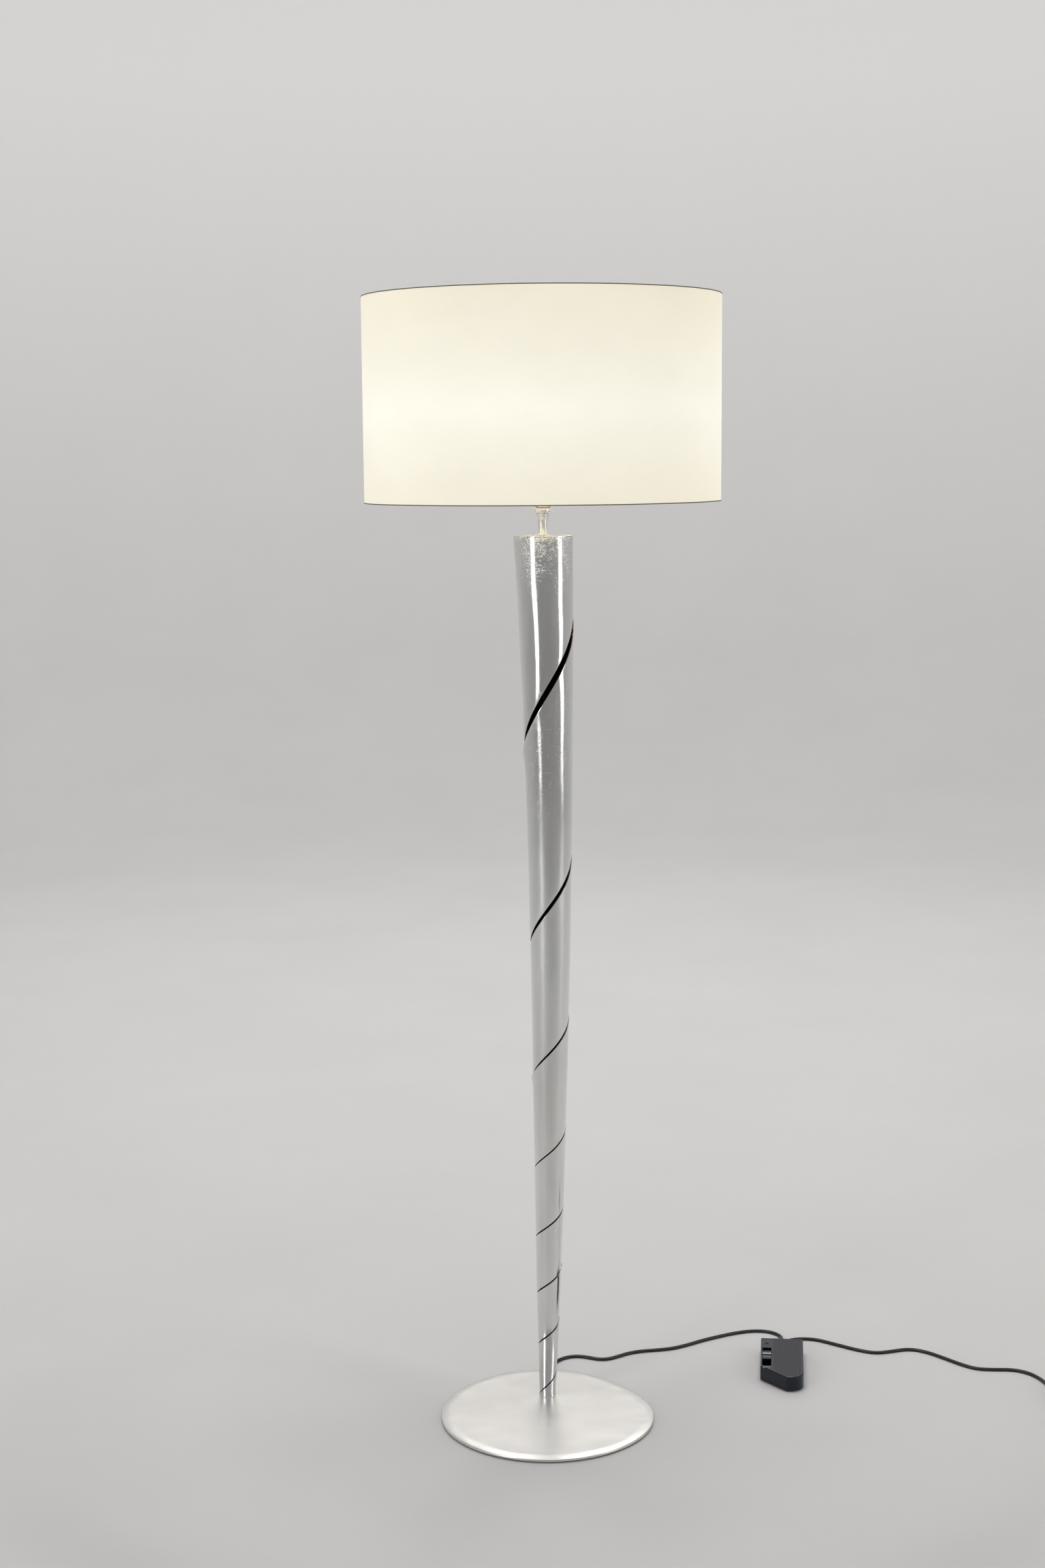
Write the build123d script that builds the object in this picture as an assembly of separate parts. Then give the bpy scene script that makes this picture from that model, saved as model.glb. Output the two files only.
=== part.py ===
from build123d import *
import math
import os

# Floor lamp: a hollow, silver-leafed cone with an open spiral slit stands on a thin round plate and
# carries a plain drum shade. Its cord runs through a foot dimmer to a mains plug.
# Millimetres. The origin is on the floor under the shade's centre, +Z up, -Y is the front.

os.makedirs("parts", exist_ok=True)

# ---------------------------------------------------------------- driving dimensions
SHADE_R = 275.0
SHADE_BOTTOM = 1462.0
SHADE_HEIGHT = 312.0
SHADE_SKIN = 1.0
SHADE_WIRE_R = 1.5

PLATE_R = 172.5
PLATE_CENTRE = (-1.9, -65.4)
PLATE_THICK = 7.0
PLATE_FLAT_DEPTH = 11.4      # how far the rear right of the rim is drawn in
PLATE_FLAT_AT = 38.6         # degrees from +X
PLATE_FLAT_SPREAD = 33.4     # degrees
FELT_THICK = 2.0
PLATE_TOP = FELT_THICK + PLATE_THICK

POST_FOOT = PLATE_TOP
POST_TOP = 1408.4
POST_R_FOOT = 12.9
POST_R_TOP = 46.5
POST_WALL = 2.5
SLIT_START = -0.45           # turns, below the foot
SLIT_END = 7.42              # turns, behind the post

TUBE_R = 5.0
TUBE_BORE_R = 3.9
CAP_THICK = 2.0
NECK_FOOT = POST_TOP + CAP_THICK
FLANGE_BOTTOM = 1445.0
FLANGE_TOP = 1453.0
TUBE_TOP = 1462.0

CORD_D = 5.6
CORD_R = CORD_D / 2
CORD_EXIT = (0, 36, 30)      # end of the gland, behind the post's foot
RELIEF_LENGTH = 20.0

DIMMER_CORNER = (368.0, 187.0)   # its rear left corner on the floor
DIMMER_TURN = -6.5
DIMMER_WIDTH = 72.0
DIMMER_LENGTH = 164.0
DIMMER_SIDE = 121.0          # length of its short left side
DIMMER_NOSE_R = 24.0
DIMMER_FOOT = 1.5
DIMMER_SPLIT = 9.0
DIMMER_TOP = 26.0
DIMMER_WALL = 2.0
DIMMER_ENTRIES = (34.0, 47.0)    # the two cords, from the left side

COIL_CENTRE = (864.0, -12.0)
COIL_COLUMNS = 3
COIL_MID_R = 30.0
COIL_LAYERS = 3


def save(node, *shapes):
    """Write one node's solids to its own file."""
    solids = [solid for shape in shapes for solid in shape.solids()]
    export_step(solids[0] if len(solids) == 1 else Compound(children=solids), f"parts/{node}.step")
    return shapes[0]


def disc(radius, bottom, top, x=0.0, y=0.0):
    """An upright cylinder between two heights."""
    return Pos(x, y, (bottom + top) / 2) * Cylinder(radius, top - bottom)


def ring(outer, inner, bottom, top, x=0.0, y=0.0):
    """An upright tube between two heights."""
    return disc(outer, bottom, top, x, y) - disc(inner, bottom - 1, top + 1, x, y)


def block(low, high):
    """A box from its lowest corner to its highest one."""
    middle = [(a + b) / 2 for a, b in zip(low, high)]
    return Pos(*middle) * Box(*[b - a for a, b in zip(low, high)])


def turned(points):
    """A turned solid from the (radius, height) corners of its half section."""
    outline = Polyline(*[(r, 0, z) for r, z in points], close=True)
    return revolve(make_face(outline), Axis.Z)


def hex_bar(across, bottom, top):
    """An upright hexagonal bar."""
    return Pos(0, 0, bottom) * extrude(RegularPolygon(across / 2, 6, major_radius=False), top - bottom)


# ---------------------------------------------------------------- the post's shape
def post_share(z):
    return (z - POST_FOOT) / (POST_TOP - POST_FOOT)


def post_radius(z):
    """The cone is a little fuller low down and slimmer high up."""
    s = post_share(z)
    swell = 29.0 * s * (1 - s) * (0.68 - s)
    return POST_R_FOOT + (POST_R_TOP - POST_R_FOOT) * s + swell


def post_lean(z):
    """How far the bowed centre line stands to the right of the tube."""
    s = post_share(z)
    return -1.8 + 2.4 * s + s * (1 - s) * (18 + 26 * s)


def slit_height(turn):
    """The slit's middle, rising one turn after another; turn 0 is at the front of the foot."""
    return 30.0 + 86.0 * turn + 0.165 * max(turn, 0.0) ** 4.16


def slit_width(turn):
    """The slit's upright width, which opens over its last three turns."""
    return 3.0 + 14.0 * (max(turn - 4.0, 0.0) / 3.0) ** 2


def post_skin(inset, bottom, top, sections=15):
    """The bowed cone as a closed solid, drawn in by inset."""
    circles = []
    for step in range(sections):
        z = bottom + (top - bottom) * step / (sections - 1)
        circles.append(Pos(post_lean(z), 0, z) * Circle(post_radius(z) - inset))
    return loft(circles)


def slit_blade(first, last):
    """One stretch of the winding cutter that opens the slit."""
    steps = round((last - first) * 24)
    edges = []
    for reach, side in ((-8, -1), (6, -1), (6, 1), (-8, 1)):
        points = []
        for step in range(steps + 1):
            turn = first + (last - first) * step / steps
            z = slit_height(turn)
            r = post_radius(z) + reach
            angle = 2 * math.pi * turn - math.pi / 2
            x = post_lean(z) + r * math.cos(angle)
            points.append((x, r * math.sin(angle), z + side * slit_width(turn) / 2))
        edges.append(Edge.make_spline([Vector(*p) for p in points]))
    faces = [Face.make_surface_from_curves(a, b) for a, b in zip(edges, edges[1:] + edges[:1])]
    for end in (0, 1):
        corners = [edge @ end for edge in edges]
        faces.append(Face(Wire.make_polygon(corners, close=True)))
    return Solid(Shell(faces))


# ---------------------------------------------------------------- base
def plate_radius(angle):
    away = (angle - PLATE_FLAT_AT) / PLATE_FLAT_SPREAD
    return PLATE_R - PLATE_FLAT_DEPTH * math.exp(-away * away)


def plate_outline(inset):
    """The nearly round rim, drawn in at the rear right."""
    points = []
    for angle in range(-180, 180, 15):
        r = plate_radius(angle) - inset
        x = PLATE_CENTRE[0] + r * math.cos(math.radians(angle))
        y = PLATE_CENTRE[1] + r * math.sin(math.radians(angle))
        points.append((x, y))
    return make_face(Spline(*points, periodic=True))


def make_base():
    recess = 3.5
    nut = 3.3
    washer = 1.2
    bolt_clear = 0.15
    plate = Pos(0, 0, FELT_THICK) * extrude(plate_outline(0), PLATE_THICK)
    plate = fillet(plate.edges().group_by(Axis.Z)[-1], 3.2)
    plate = fillet(plate.edges().group_by(Axis.Z)[0], 1.5)
    plate -= disc(17, FELT_THICK - 1, FELT_THICK + recess)
    plate -= disc(TUBE_R + bolt_clear, 0, PLATE_TOP + 1)
    save("base_plate", plate)
    felt = extrude(plate_outline(13), FELT_THICK) - disc(19, -1, FELT_THICK + 1)
    save("base_felt", felt)
    shelf = FELT_THICK + recess
    save("base_washer", ring(14, TUBE_R + bolt_clear, shelf - washer, shelf))
    base_nut = hex_bar(17, shelf - washer - nut, shelf - washer)
    save("base_nut", base_nut - disc(TUBE_R, 0, 10))


# ---------------------------------------------------------------- post
def make_post():
    gland_z = CORD_EXIT[2]
    shell = post_skin(0, POST_FOOT, POST_TOP) - post_skin(POST_WALL, POST_FOOT - 5, POST_TOP + 5)
    stretches = 10
    pitch = (SLIT_END - SLIT_START) / stretches
    for step in range(stretches):
        shell -= slit_blade(SLIT_START + pitch * step, SLIT_START + pitch * (step + 1))
    gland_hole = Pos(0, 14, gland_z) * Rot(90, 0, 0) * Cylinder(4.3, 16)
    save("spiral_shell", shell - gland_hole)

    foot_ring = disc(9.6, POST_FOOT, POST_FOOT + 9, post_lean(POST_FOOT))
    save("foot_ring", foot_ring - disc(TUBE_R + 0.1, 0, 40))
    top_ring = disc(42.8, POST_TOP - 9, POST_TOP, post_lean(POST_TOP))
    save("top_ring", top_ring - disc(37, POST_TOP - 10, POST_TOP - 2) - disc(TUBE_R + 0.2, 0, POST_TOP + 1))
    cap = disc(POST_R_TOP, POST_TOP, POST_TOP + CAP_THICK, post_lean(POST_TOP))
    cap = chamfer(cap.edges().group_by(Axis.Z)[-1], 0.5)
    save("top_cap", cap - disc(TUBE_R + 0.2, 0, 1500))

    tube = ring(TUBE_R, TUBE_BORE_R, FELT_THICK, TUBE_TOP)
    wire_slot = block((-3, 0, gland_z - 6), (3, 8, gland_z + 12))
    save("centre_tube", tube - wire_slot)

    gland = Pos(0, 0, gland_z) * Rot(-90, 0, 0) * turned(
        [(0, 9.5), (4, 9.5), (4, 14.2), (5.6, 14.2), (5.6, 16.6), (4.6, 17.4), (3.5, 36), (0, 36)]
    )
    save("cord_gland", gland)


def make_neck():
    bore = disc(TUBE_R, NECK_FOOT - 1, FLANGE_TOP + 20)
    low, high = NECK_FOOT, FLANGE_BOTTOM
    waist = low + 0.42 * (high - low)
    side = Spline((9.9, 0, low + 2.5), (7.7, 0, waist), (9.3, 0, high - 3.5), tangents=[(-1, 0, 3), (1, 0, 6)])
    outline = side + Polyline((9.3, 0, high - 3.5), (7.6, 0, high - 2), (7.6, 0, high), (0, 0, high),
                              (0, 0, low), (9.9, 0, low), (9.9, 0, low + 2.5))
    stem = revolve(make_face(outline), Axis.Z)
    save("neck_stem", stem - bore)
    flange = disc(14, FLANGE_BOTTOM, FLANGE_TOP)
    flange = fillet(flange.edges().filter_by(GeomType.CIRCLE), 2.4)
    save("neck_flange", flange - bore)


# ---------------------------------------------------------------- lampholder
HOLDER_SPLIT = 1474.0
HOLDER_SHELF = 1485.0
HOLDER_TOP = 1510.0
SPIDER_BOTTOM = 1488.0
SPIDER_TOP = 1490.0


def make_lampholder():
    dome = turned([(TUBE_R, FLANGE_TOP), (11, FLANGE_TOP), (17, FLANGE_TOP + 5), (19.2, FLANGE_TOP + 12),
                   (19.2, HOLDER_SPLIT), (17, HOLDER_SPLIT), (17, FLANGE_TOP + 12),
                   (9, FLANGE_TOP + 3), (TUBE_R, FLANGE_TOP + 3)])
    save("holder_dome", dome)
    body = turned([(14.4, HOLDER_SHELF), (14.4, HOLDER_TOP), (18.2, HOLDER_TOP), (18.2, SPIDER_TOP + 8),
                   (19.0, SPIDER_TOP + 7), (19.0, HOLDER_SHELF - 6), (19.2, HOLDER_SPLIT),
                   (17, HOLDER_SPLIT), (17, HOLDER_SHELF)])
    for step in range(6):
        z = SPIDER_BOTTOM - 5 + step * 2.4
        body -= turned([(18.5, z), (19.5, z - 0.5), (19.5, z + 0.5)])
    save("holder_body", body)
    insert = disc(16.8, HOLDER_SPLIT - 6, HOLDER_SHELF - 1.5) - disc(4.2, 1460, HOLDER_SPLIT)
    wells = [disc(2.2, HOLDER_SPLIT - 8, HOLDER_SPLIT + 6, x, 8) for x in (-9, 9)]
    save("holder_insert", insert - wells[0] - wells[1])
    save("terminal_screws", *[disc(1.9, HOLDER_SPLIT - 5, HOLDER_SPLIT + 5, x, 8) for x in (-9, 9)])
    save("socket_shell", ring(14.3, 13.6, HOLDER_SHELF, HOLDER_TOP - 3))
    tongue = block((-3, -9, HOLDER_SHELF - 1.5), (3, 9, HOLDER_SHELF - 0.9))
    save("centre_contact", tongue + disc(3.5, HOLDER_SHELF - 1.5, HOLDER_SHELF - 0.2))
    for node, bottom in (("shade_nut_lower", SPIDER_BOTTOM - 7), ("shade_nut_upper", SPIDER_TOP)):
        nut = ring(28, 19.1, bottom, bottom + 7)
        for step in range(24):
            nut -= Rot(0, 0, 15 * step) * block((27.2, -1.4, bottom - 1), (30, 1.4, bottom + 8))
        save(node, nut)
    leads = []
    for side in (-1, 1):
        path = FilletPolyline((side * 1.5, 9.4, CORD_EXIT[2]), (side * 1.5, 0, CORD_EXIT[2]),
                              (side * 1.5, 0, HOLDER_SPLIT - 6.5), radius=5)
        leads.append(sweep(Plane(path @ 0, z_dir=path % 0) * Circle(1.2), path))
    save("inner_leads", *leads)


# ---------------------------------------------------------------- bulb
BULB_R = 30.0
BULB_CAP_R = 13.2
BULB_WAIST = 1548.0
BULB_TOP = 1593.0


def make_bulb():
    cap_low, cap_high = HOLDER_SHELF + 3.5, HOLDER_TOP + 2
    cap = ring(BULB_CAP_R - 0.7, BULB_CAP_R - 1.3, cap_low, cap_high)
    for step in range(5):
        z = cap_low + 3.5 + step * 3.6
        cap += turned([(BULB_CAP_R - 0.8, z - 1.5), (BULB_CAP_R, z), (BULB_CAP_R - 0.8, z + 1.5)])
    save("bulb_screw_cap", cap)
    save("bulb_insulator", turned([(4.2, HOLDER_SHELF + 0.8), (7, HOLDER_SHELF + 0.8), (11.8, cap_low),
                                   (11.8, cap_low + 2), (4.2, cap_low + 2)]))
    save("bulb_contact", disc(4.1, HOLDER_SHELF + 0.1, HOLDER_SHELF + 2))
    outer = Spline((14, 0, cap_high), (20, 0, cap_high + 15), (27.5, 0, BULB_WAIST))
    inner = Spline((26, 0, BULB_WAIST), (18.5, 0, cap_high + 15), (12.5, 0, cap_high))
    housing = outer + Line(outer @ 1, inner @ 0) + inner + Line(inner @ 1, outer @ 0)
    save("bulb_housing", revolve(make_face(housing), Axis.Z))
    save("bulb_led_board", disc(24, BULB_WAIST, BULB_WAIST + 1.6))
    chips = [Rot(0, 0, 45 * step) * block((14, -1.6, BULB_WAIST + 1.6), (17.2, 1.6, BULB_WAIST + 2.4))
             for step in range(8)]
    save("bulb_led_chips", *chips)
    middle = BULB_TOP - BULB_R
    globe = Pos(0, 0, middle) * (Sphere(BULB_R) - Sphere(BULB_R - 1.2))
    save("bulb_diffuser", globe - disc(60, middle - 60, BULB_WAIST) - disc(24.3, BULB_WAIST, BULB_WAIST + 3))


# ---------------------------------------------------------------- shade
def make_shade():
    top = SHADE_BOTTOM + SHADE_HEIGHT
    save("shade_cover", ring(SHADE_R, SHADE_R - SHADE_SKIN, SHADE_BOTTOM + 1, top - 1))
    wire_r = SHADE_R - SHADE_SKIN - SHADE_WIRE_R - 0.1
    seam = ring(SHADE_R - SHADE_SKIN, SHADE_R - SHADE_SKIN - 0.5, SHADE_BOTTOM + 5, top - 5)
    save("shade_seam", seam & block((-6, 200, SHADE_BOTTOM), (6, 300, top)))
    for name, z in (("bottom", SHADE_BOTTOM + 1 + SHADE_WIRE_R), ("top", top - 1 - SHADE_WIRE_R)):
        save(f"shade_wire_{name}", Pos(0, 0, z) * Torus(wire_r, SHADE_WIRE_R))
    low_edge = ring(SHADE_R, SHADE_R - 4.2, SHADE_BOTTOM, SHADE_BOTTOM + 1)
    high_edge = ring(SHADE_R, SHADE_R - 4.2, top - 1, top)
    save("shade_edge_bottom", low_edge)
    save("shade_edge_top", high_edge)

    hub = ring(32, 19.3, SPIDER_BOTTOM, SPIDER_TOP)
    arm_r = 1.6
    reach = wire_r - 0.1
    foot_z = SHADE_BOTTOM + 1 + 2 * SHADE_WIRE_R + arm_r - 0.4
    path = Polyline((30.5, 0, SPIDER_BOTTOM + 1), (64, 0, SPIDER_BOTTOM + 0.5), (reach, 0, foot_z))
    arm = sweep(Plane(path @ 0, z_dir=path % 0) * Circle(arm_r), path, transition=Transition.RIGHT)
    spider = hub
    for step in range(3):
        spider += Rot(0, 0, 90 + 120 * step) * arm
    save("shade_spider", spider)


# ---------------------------------------------------------------- foot dimmer
def at_dimmer(shape):
    """Move a shape from the dimmer's own frame, x right and y back from its rear left corner."""
    return Pos(*DIMMER_CORNER, 0) * Rot(0, 0, DIMMER_TURN) * shape


def dimmer_point(across, behind, z):
    """A point of the dimmer's own frame, in the lamp's frame."""
    turn = math.radians(DIMMER_TURN)
    x = DIMMER_CORNER[0] + across * math.cos(turn) - behind * math.sin(turn)
    y = DIMMER_CORNER[1] + across * math.sin(turn) + behind * math.cos(turn)
    return (x, y, z)


def dimmer_outline(inset):
    """The housing's plan: square behind, a slanted front and one big round corner."""
    slant = DIMMER_LENGTH - DIMMER_SIDE
    corners = [(0, 0), (DIMMER_WIDTH, 0), (DIMMER_WIDTH, -DIMMER_LENGTH),
               (slant, -DIMMER_LENGTH), (0, -DIMMER_SIDE)]
    plan = make_face(FilletPolyline(*corners, radius=[3, 3, DIMMER_NOSE_R, 7, 3], close=True))
    return offset(plan, -inset) if inset else plan


WINDOW = ((2.8, -118.0), (18.2, -43.0))
KNOB_FRONT = -97.0
KNOB_BACK = -66.0


def make_dimmer_case():
    inside = dimmer_outline(DIMMER_WALL)
    entries = []
    for across in DIMMER_ENTRIES:
        entries.append(Pos(across, 0, DIMMER_SPLIT) * Rot(90, 0, 0) * Cylinder(4.05, 20))

    base = Pos(0, 0, DIMMER_FOOT) * extrude(dimmer_outline(0), DIMMER_SPLIT - DIMMER_FOOT)
    base = fillet(base.edges().group_by(Axis.Z)[0], 1.2)
    base -= Pos(0, 0, DIMMER_FOOT + 2) * extrude(inside, 20)
    screws_at = [(7, -8), (65, -8), (65, -135)]
    for x, y in screws_at:
        base += disc(3.2, DIMMER_FOOT + 2, DIMMER_SPLIT, x, y)
        base -= disc(1.5, 0, 20, x, y)
        base -= disc(2.8, 0, DIMMER_FOOT + 2.5, x, y)
    save("dimmer_base", at_dimmer(base - entries[0] - entries[1]))

    cover = Pos(0, 0, DIMMER_SPLIT) * extrude(dimmer_outline(0), DIMMER_TOP - DIMMER_SPLIT)
    cover = fillet(cover.edges().group_by(Axis.Z)[-1], 2.4)
    cover -= Pos(0, 0, DIMMER_SPLIT - 1) * extrude(inside, DIMMER_TOP - DIMMER_SPLIT + 1 - 2.4)
    for x, y in screws_at:
        cover += disc(3.2, DIMMER_SPLIT, DIMMER_TOP - 2, x, y)
        cover -= disc(1.3, 0, DIMMER_SPLIT + 9, x, y)
    (left, front), (right, back) = WINDOW
    cover -= block((left, front, 15), (right, back, 30))
    ramp = Pos(0, 0, DIMMER_TOP) * Rot(8, 0, 0) * block((left + 1, -9, 0), (right - 1, 5, 3))
    cover -= Pos(0, front, -0.9) * ramp
    slot = SlotCenterToCenter(9.5, 5, rotation=90)
    cover -= Pos(10.2, -30, DIMMER_TOP - 3) * extrude(slot, 5)
    rib_pitch, ribs = 2.1, 23
    field = make_face(offset(dimmer_outline(0), -3.6).edges()) & Pos(45, -80) * Rectangle(48.5, 200)
    grooves = [Pos(22.5 + rib_pitch * step, -82) * Rectangle(0.9, 180) for step in range(ribs)]
    for groove in grooves:
        cover -= Pos(0, 0, DIMMER_TOP - 0.45) * extrude(field & groove, 1)
    save("dimmer_cover", at_dimmer(cover - entries[0] - entries[1]))

    window = Pos(10.2, -30, DIMMER_TOP - 2.3) * extrude(SlotCenterToCenter(9.3, 4.8, rotation=90), 1.4)
    save("dimmer_indicator", at_dimmer(window))
    feet = [disc(5, 0, DIMMER_FOOT, x, y) for x, y in ((17, -10), (55, -10), (58, -148), (11, -115))]
    save("dimmer_feet", *[at_dimmer(foot) for foot in feet])
    shank = DIMMER_SPLIT + 7 - (DIMMER_FOOT + 2.5)
    screws = []
    for x, y in screws_at:
        screws.append(at_dimmer(disc(2.6, DIMMER_FOOT + 0.6, DIMMER_FOOT + 2.5, x, y)
                                + disc(1.25, DIMMER_FOOT + 2.5, DIMMER_FOOT + 2.5 + shank, x, y)))
    save("dimmer_screws", *screws)


def make_dimmer_inside():
    board = DIMMER_FOOT + 4
    pcb = block((12, -112, board), (60, -26, board + 1.6))
    save("dimmer_pcb", at_dimmer(pcb))
    deck = board + 1.6
    pot = block((6.2, -116, 10), (14.8, -46, 16.2)) - block((9, -113, 12), (12, -49, 17))
    legs = block((12.2, -60, deck), (14.2, -58, 10)) + block((12.2, -104, deck), (14.2, -102, 10))
    save("dimmer_fader", at_dimmer(pot + legs))
    choke = Pos(46, -92, deck + 5.2) * Torus(7.4, 3.6)
    save("dimmer_choke", at_dimmer(Pos(0, 0, 0) * choke + block((42, -86, deck), (50, -83, deck + 3))))
    triac = block((24, -50, deck + 2), (34, -46, deck + 12)) + block((25, -49, deck), (33, -48, deck + 2))
    save("dimmer_triac", at_dimmer(triac))
    sink = block((20, -46, deck), (40, -44, deck + 14))
    for step in range(4):
        sink += block((21 + 5.3 * step, -44, deck), (22.5 + 5.3 * step, -38, deck + 14))
    save("dimmer_heatsink", at_dimmer(sink))
    fuse = Pos(52, -52, deck + 4) * Rot(90, 0, 0) * Cylinder(2.6, 20)
    clips = [block((49, y - 2, deck), (55, y + 2, deck + 4)) for y in (-60, -44)]
    save("dimmer_fuse", at_dimmer(fuse + clips[0] + clips[1]))
    capacitor = fillet(block((22, -84, deck), (36, -70, deck + 11)).edges().filter_by(Axis.Z), 1.5)
    save("dimmer_capacitor", at_dimmer(capacitor))
    terminals = block((24, -34, deck), (54, -27, deck + 8))
    for step in range(4):
        terminals -= disc(2, deck + 3, deck + 9, 28.5 + 7 * step, -30.5)
    save("dimmer_terminals", at_dimmer(terminals))
    clamps = []
    for across in DIMMER_ENTRIES:
        bridge = block((across - 5.5, -18, DIMMER_FOOT + 2.1), (across + 5.5, -12, DIMMER_SPLIT + 4.5))
        clamps.append(at_dimmer(bridge - Pos(across, -15, DIMMER_SPLIT) * Rot(90, 0, 0) * Cylinder(3, 20)))
    save("dimmer_clamps", *clamps)
    for node, across in zip(("dimmer_relief_in", "dimmer_relief_out"), DIMMER_ENTRIES):
        relief = turned([(0, -11.5), (2.9, -11.5), (2.9, -3.6), (5, -3.6), (5, -2.2), (4, -2.2), (4, 0.2),
                         (4.9, 0.2), (4.9, 2.4), (3.5, RELIEF_LENGTH), (0, RELIEF_LENGTH)])
        save(node, at_dimmer(Pos(across, 0, DIMMER_SPLIT) * Rot(-90, 0, 0) * relief))


def make_slider():
    middle = (WINDOW[0][0] + WINDOW[1][0]) / 2
    width = 14.2
    round_r = width / 2
    tongue = Pos(middle, KNOB_FRONT + round_r) * Circle(round_r)
    tongue += Pos(middle, (KNOB_FRONT + round_r + KNOB_BACK) / 2) * Rectangle(
        width, KNOB_BACK - KNOB_FRONT - round_r)
    knob = Pos(0, 0, 18) * extrude(tongue, DIMMER_TOP + 3.5 - 18)
    dish = Pos(middle, (KNOB_FRONT + KNOB_BACK) / 2 - 4, DIMMER_TOP + 24) * Rot(0, 90, 0) * Cylinder(24, 40)
    knob -= dish
    knob = fillet(knob.edges().filter_by(Axis.Z).group_by(Axis.Y)[-1], 1.0)
    stem = block((middle - 1.2, -84, 12.5), (middle + 1.2, -78, 18))
    shutter = block((middle - 6.6, KNOB_BACK, 21.4), (middle + 6.6, KNOB_BACK + 24, 22.8))
    save("dimmer_slider", at_dimmer(knob + stem + shutter))


# ---------------------------------------------------------------- cords
def cord_tube(points):
    """A round cord: straight runs joined by arcs as large as their runs allow."""
    corners = [Vector(*p) for p in points]
    radii = []
    for before, here, after in zip(corners, corners[1:], corners[2:]):
        turn = (here - before).get_angle(after - here)
        shorter = min((here - before).length, (after - here).length)
        radii.append(0.45 * shorter / math.tan(math.radians(turn) / 2))
    path = FilletPolyline(*corners, radius=radii)
    tube = sweep(Plane(path @ 0, z_dir=path % 0) * Circle(CORD_R), path)
    share = tube.volume / (math.pi * CORD_R ** 2 * path.length)
    print(f"cord {path.length:.0f} mm, volume {share:.4f} of its section, tightest {min(radii):.0f} mm")
    print("  radii", " ".join(f"{radius:.0f}" for radius in radii))
    return tube


LAY = CORD_R + 0.05    # the height of a cord's centre where it lies on the floor

TO_DIMMER = [
    CORD_EXIT, (0, 57, 29), (0.8, 80, 23), (2.4, 103, 15.5), (5.5, 125, 8), (13, 145, 3.2), (29, 163, LAY),
    (49.5, 169.5, LAY), (69, 164, LAY), (86, 154.5, LAY), (104, 155, LAY), (122, 167, LAY), (139, 179.5, LAY),
    (162, 188.5, LAY), (190, 192.5, LAY), (218, 199, LAY), (244, 214, LAY), (270, 232.5, LAY), (299, 249, LAY),
    (329, 264, LAY), (358, 273.5, LAY), (384, 273, LAY), (402.5, 261, LAY), (410.5, 243, 3.2), (408, 223, 6.8),
    dimmer_point(DIMMER_ENTRIES[0], RELIEF_LENGTH, DIMMER_SPLIT),
]
TO_COIL = [
    dimmer_point(DIMMER_ENTRIES[1], RELIEF_LENGTH, DIMMER_SPLIT), (418.3, 213, 8.2), (423.5, 223.3, 6.2),
    (431.9, 231.1, 4.2), (442.5, 235.5, 3), (455, 236, LAY), (471, 231.5, LAY), (488, 219.5, LAY),
    (512, 201.5, LAY), (538, 182.5, LAY), (565, 170.5, LAY), (594, 178.5, LAY), (624, 188, LAY),
    (650, 175.5, LAY), (674, 150.5, LAY), (698, 122, LAY), (722, 100.5, LAY), (752, 97, LAY),
    (782, 96.5, LAY), (805, 84, LAY), (820, 60, LAY), (827, 32, LAY), (828.6, 4, LAY),
]
TO_PLUG = [(828.6, -32, 13.8), (828.3, -43, 12.6), (828, -55, 9.3), (828, -67, 7.3), (828, -79, 6.9)]
PLUG_BACK = (828, -79, 6.9)


def make_cords():
    save("cord_to_dimmer", cord_tube(TO_DIMMER))
    save("cord_to_coil", cord_tube(TO_COIL))
    save("cord_to_plug", cord_tube(TO_PLUG))
    outer = COIL_MID_R + COIL_COLUMNS * CORD_R
    inner = COIL_MID_R - COIL_COLUMNS * CORD_R
    height = COIL_LAYERS * CORD_D
    coil = ring(outer, inner, 0.05, height, *COIL_CENTRE)
    coil = fillet(coil.edges(), 2.4)
    tie_thick = 1.1
    reach = COIL_COLUMNS * CORD_R + 0.2
    x = COIL_CENTRE[0] + COIL_MID_R
    y = COIL_CENTRE[1]
    tie = block((x - reach - tie_thick, y - 5, 0), (x + reach + tie_thick, y + 5, height + tie_thick))
    tie = fillet(tie.edges().filter_by(Axis.Y), 3)
    core = block((x - reach, y - 6, tie_thick), (x + reach, y + 6, height))
    core = fillet(core.edges().filter_by(Axis.Y), 2)
    save("cord_coil", coil - tie + (coil & core))
    save("cord_tie", tie - core)


def make_plug():
    x, y, z = PLUG_BACK
    relief_end = y - 26
    relief = turned([(0, 0), (3.6, 0), (4.9, 26), (0, 26)])
    save("plug_relief", Pos(x, y, z) * Rot(90, 0, 0) * relief)
    half, length = 17.6, 35.0
    plan = [(x - 7, relief_end), (x + 7, relief_end), (x + half, relief_end - 15), (x + half, relief_end - length),
            (x - half, relief_end - length), (x - half, relief_end - 15)]
    body = Pos(0, 0, 0.05) * extrude(make_face(Polyline(*plan, close=True)), 13.7)
    body = fillet(body.edges().filter_by(Axis.Z), 3)
    body = fillet(body.edges().group_by(Axis.Z)[-1] + body.edges().group_by(Axis.Z)[0], 2.2)
    face = relief_end - length
    pins = []
    root_r = 2.4
    for side in (-9.3, 9.3):
        pin = Pos(x + side, face - 9.5, z) * Rot(90, 0, 0) * Cylinder(2.0, 19)
        pin = fillet(pin.edges().group_by(Axis.Y)[0], 1.2)
        root = Pos(x + side, face + 3, z) * Rot(90, 0, 0) * Cylinder(root_r, 6)
        pins.append(pin + root)
        body -= root
    save("plug_body", body)
    save("plug_pins", *pins)


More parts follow.
